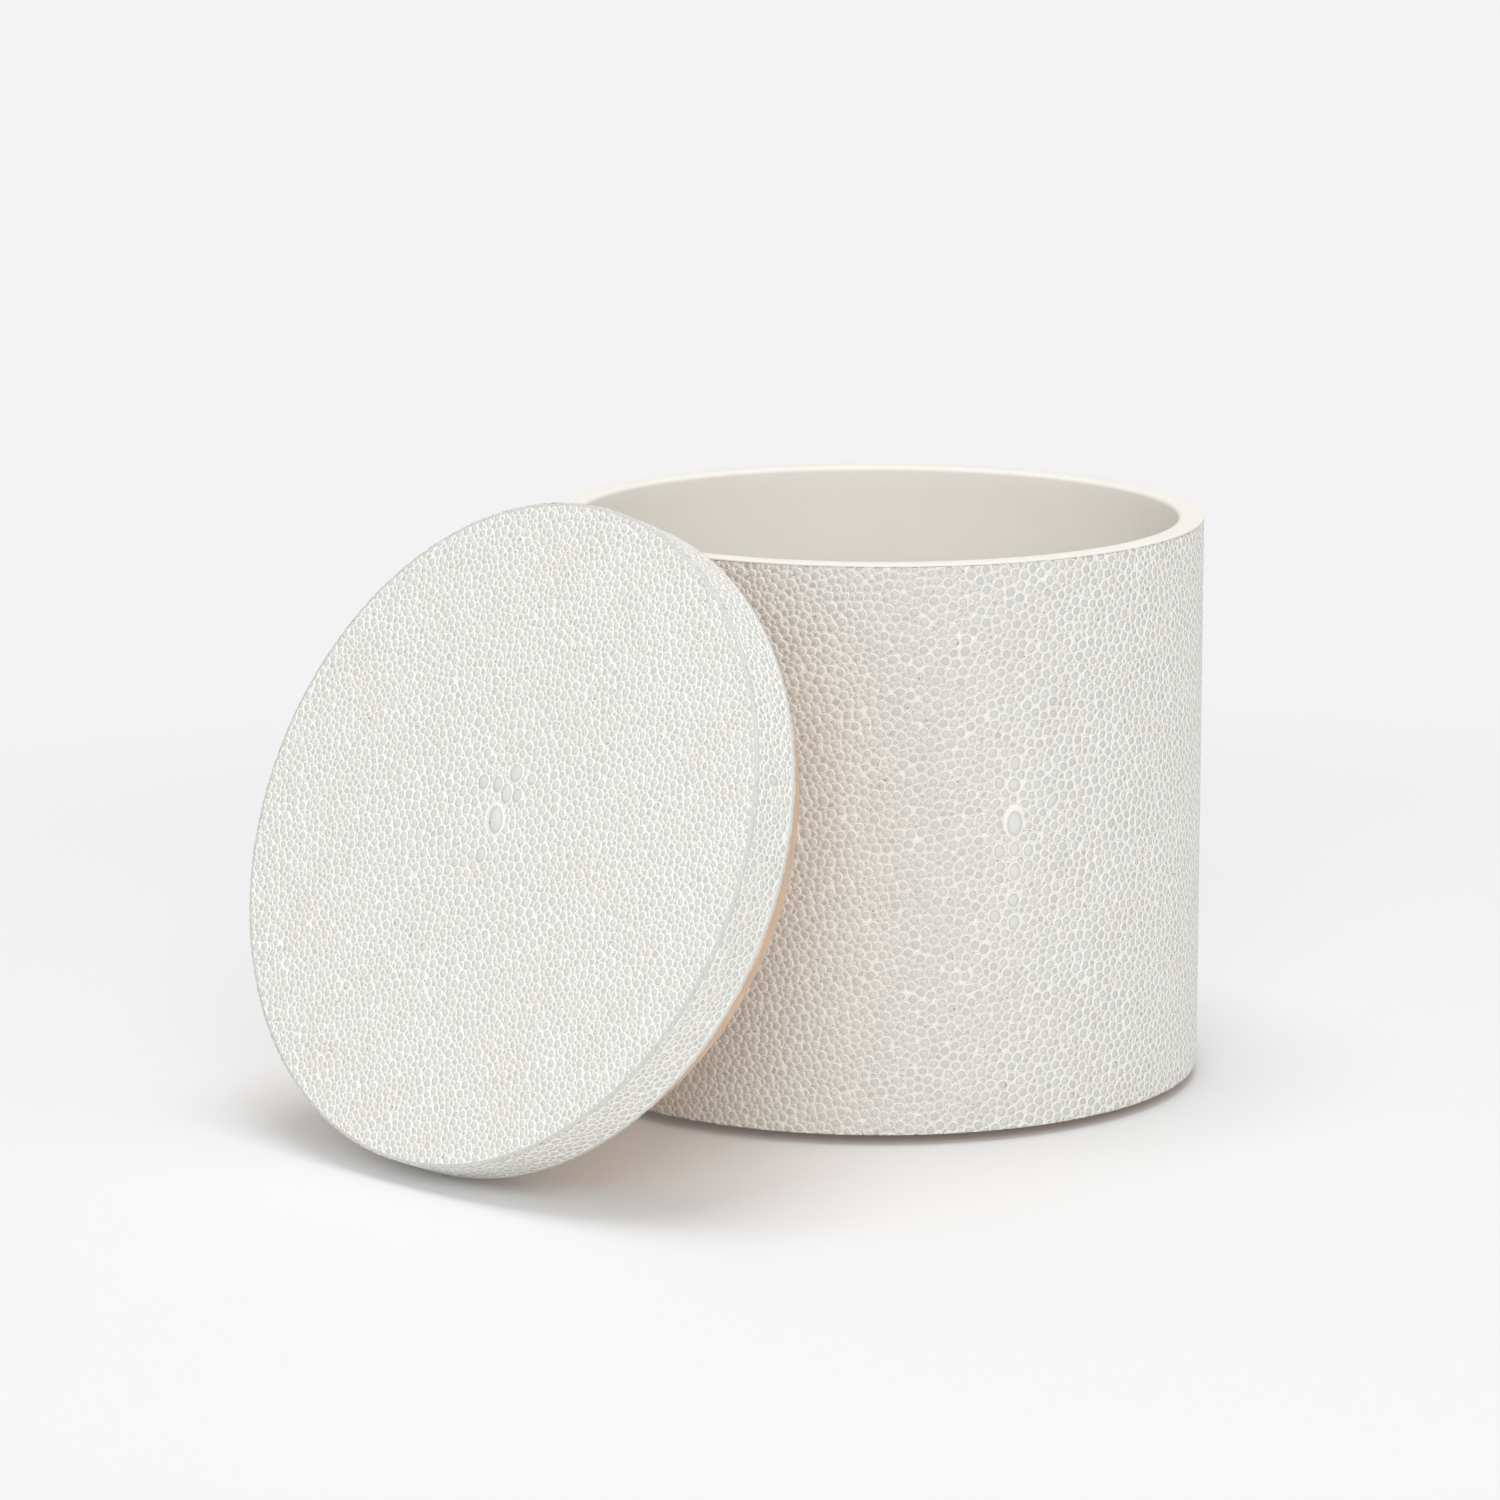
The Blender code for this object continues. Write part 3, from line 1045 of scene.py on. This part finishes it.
wood_along = add_math(wood_tree, "MULTIPLY", wood_parts["Y"], line_share)
wood_lines = combined(wood_tree, wood_parts["X"], wood_along, wood_parts["Z"])
wood_streak = mapped(wood_tree, add_noise(wood_tree, wood_lines, line_width, 5.0), *noise_span)
wood_end_colour = mixed(wood_tree, wood_streak, end_tan, end_line)
wood_side_colour = mixed(wood_tree, wood_streak, side_tan, side_line)
wood_colour = mixed(wood_tree, wood_side, wood_end_colour, wood_side_colour)
wood_tree.links.new(wood_colour, wood_shader.inputs["Base Color"])
add_bump(wood_tree, wood_shader, wood_streak, line_depth)
lid_board_corners = [
    (0, lid_board_thickness, 0),
    (core_radius, lid_board_thickness, 0),
    (core_radius, 0, 0),
    (0, 0, 0),
]
lid_disc = turned("lid_disc", lid_board_corners, wood, "lid", lid_place)
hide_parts("lid_board")
plug_corners = [
    (0, -glue_gap, 0),
    (plug_radius, -glue_gap, 0),
    (plug_radius, -plug_depth, plug_edge_radius),
    (0, -plug_depth, 0),
]
lid_plug = turned("locating_plug", plug_corners, wood, "lid", lid_place)
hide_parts("lid_plug")


# Lid: shagreen on the face
# A disc of the same cast sheet, glued on the board, its pearl in the middle and a star of long scales above
# it. At its edge the scales are sanded away, and a soft crease is left where it meets the band.
land = 0.00013
mitre_reach = 0.0008
slope_from = 0.0009
slope_to = 0.0006
slope_radius = 0.0001
edge_radius = 0.0006
edge_depth = 0.0007
face_valley = lid_thickness - scale_rise
face_edge = outer_radius - land
face_back = lid_board_thickness + glue_gap
face_meets_band = lid_thickness - edge_depth
face_corners = [
    (0, face_valley, 0),
    (face_edge - slope_from, face_valley, 0),
    (face_edge - slope_to, lid_thickness - land, slope_radius),
    (face_edge, lid_thickness - land, edge_radius),
    (face_edge, face_meets_band, 0),
    (face_edge - mitre_reach, face_back, 0),
    (0, face_back, 0),
]
face_sheet = turned("face_sheet", face_corners, shagreen, "lid", lid_place)
sanded_crown = 0.83


def grey_sanded_parts(sheet, place, low_radius, low_height, high_height, amount):
    """Colour the sanded parts of a sheet grey: past a radius, and between two heights."""
    back = place.inverted()
    crowns = []
    for vertex in sheet.data.vertices:
        point = back @ vertex.co
        is_sanded = math.hypot(point.x, point.y) > low_radius and low_height < point.z < high_height
        crowns.append(sanded_crown if is_sanded else 0.0)
    grey_shares = [amount] * len(crowns)
    for attribute, numbers in (("crown", crowns), ("wash", grey_shares)):
        sheet.data.attributes.new(attribute, "FLOAT", "POINT").data.foreach_set("value", numbers)


# Painted shade: the face's sanded rim is greyed, darker than the lamps leave it, for the shade in the soft
# crease where it meets the band.
face_edge_shade = 0.85
grey_sanded_parts(face_sheet, lid_place, face_edge - mitre_reach, 0, lid_thickness, face_edge_shade)
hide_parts("lid_face_skin")
face_marks = add_marks(
    "face_marks",
    [
        (-0.5, 2.2, 1.8, 2.8, 22, 1.1, 0.75),
        (-0.65, 2.3, 2.25, 3.2, 22, 0.85, 0.0),
        (0.3, 7.3, 1.35, 2.0, 18, 1.0, 0.8),
        (1.3, 11.4, 1.6, 1.75, 0, 1.0, 0.8),
        (3.1, 7.4, 1.2, 1.35, 10, 1.0, 0.9),
        (-6.4, 8.6, 1.3, 1.5, 20, 1.0, 0.9),
        (-2.6, 8.7, 1.2, 1.6, 20, 1.0, 0.9),
        (5.6, 10.8, 1.05, 1.1, 0, 1.0, 0.9),
        (-1.8, -4.8, 1.2, 1.6, 10, 1.0, 0.9),
    ],
)
face_layout = run_tree(
    layout_tree,
    add_blank("face_blank", 0, face_edge, True),
    {
        **face_marks,
        "Pitch": 0.00178,
        "Top Radius": 0.00068,
        "Growth": 1.3,
        "Growth Reach": 0.042,
        "Ridge": 0.0004,
        "Wash": 0.84,
        "Tone": -0.2,
        "Seed": 21,
    },
)
face_cut = {
    "Half Up": face_edge,
    "Round Sheet": True,
    "Rise": 0.00022,
    "Ridge": 0.0004,
    "Flank": 0.00036,
    "Fade Low": 0.0006,
    "Fade High": 0.0006,
}
face_place = lid_place @ Matrix.Translation((0, 0, face_valley))
add_scales("face_scales", "lid", face_place, face_layout, 2, face_edge, face_cut)


# Lid: shagreen band round the side
# A strip of the sheet with its own run of scales, glued round the board and butted on the side away from
# the camera. Its lower edge is sanded smooth and round.
band_foot = 0.0
sanded_from = 0.0015
sanded_to = 0.0009
sanded_radius = 0.0008
greyed_from = skin_inner + 0.0005
greyed_height = 0.0012
crease_gap = 0.00002
shoulder = 0.0003
band_top = face_meets_band - crease_gap
band_corners = [
    (face_edge, band_top, 0),
    (side_valley, band_top - shoulder, 0),
    (side_valley, band_foot + sanded_from, 0),
    (face_edge, band_foot + sanded_to, sanded_radius),
    (face_edge, band_foot, edge_radius),
    (skin_inner, band_foot, 0),
    (skin_inner, lid_board_thickness, 0),
    (face_edge - mitre_reach, lid_board_thickness, 0),
]
band_sheet = turned("band_sheet", band_corners, shagreen, "lid", lid_place, seam_gap, math.pi)
# The band's sanded lower edge is greyed as well.
band_edge_grey = 0.7
grey_sanded_parts(band_sheet, lid_place, greyed_from, -greyed_height, band_foot + greyed_height, band_edge_grey)
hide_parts("lid_band_skin")
band_half_up = (face_valley - band_foot) / 2
band_marks = add_marks("band_marks", [(20.0, 1.0, 1.0, 1.3, 0, 1.0, 1.0)])
# Painted shade: the band's scales get a darker tone and more wash than the face's, for the shade on the
# lid's side.
band_layout = run_tree(
    layout_tree,
    add_blank("band_blank", side_half_across, band_half_up, False),
    {
        **band_marks,
        "Pitch": 0.00178,
        "Top Radius": 0.00068,
        "Growth": 1.0,
        "Ridge": 0.0004,
        "Wash": 0.9,
        "Tone": -0.5,
        "Seed": 33,
    },
)
band_cut = {
    "Half Across": side_half_across,
    "Half Up": band_half_up,
    "Rise": 0.0002,
    "Ridge": 0.0004,
    "Flank": 0.00036,
    "Fade Low": 0.0016,
    "Fade High": 0.0008,
    "Bend Radius": side_valley,
    "Bend Turn": math.pi / 2,
}
band_place = lid_place @ Matrix.Translation((0, 0, band_foot + band_half_up))
add_scales("band_scales", "lid", band_place, band_layout, 1, side_half_across, band_cut)
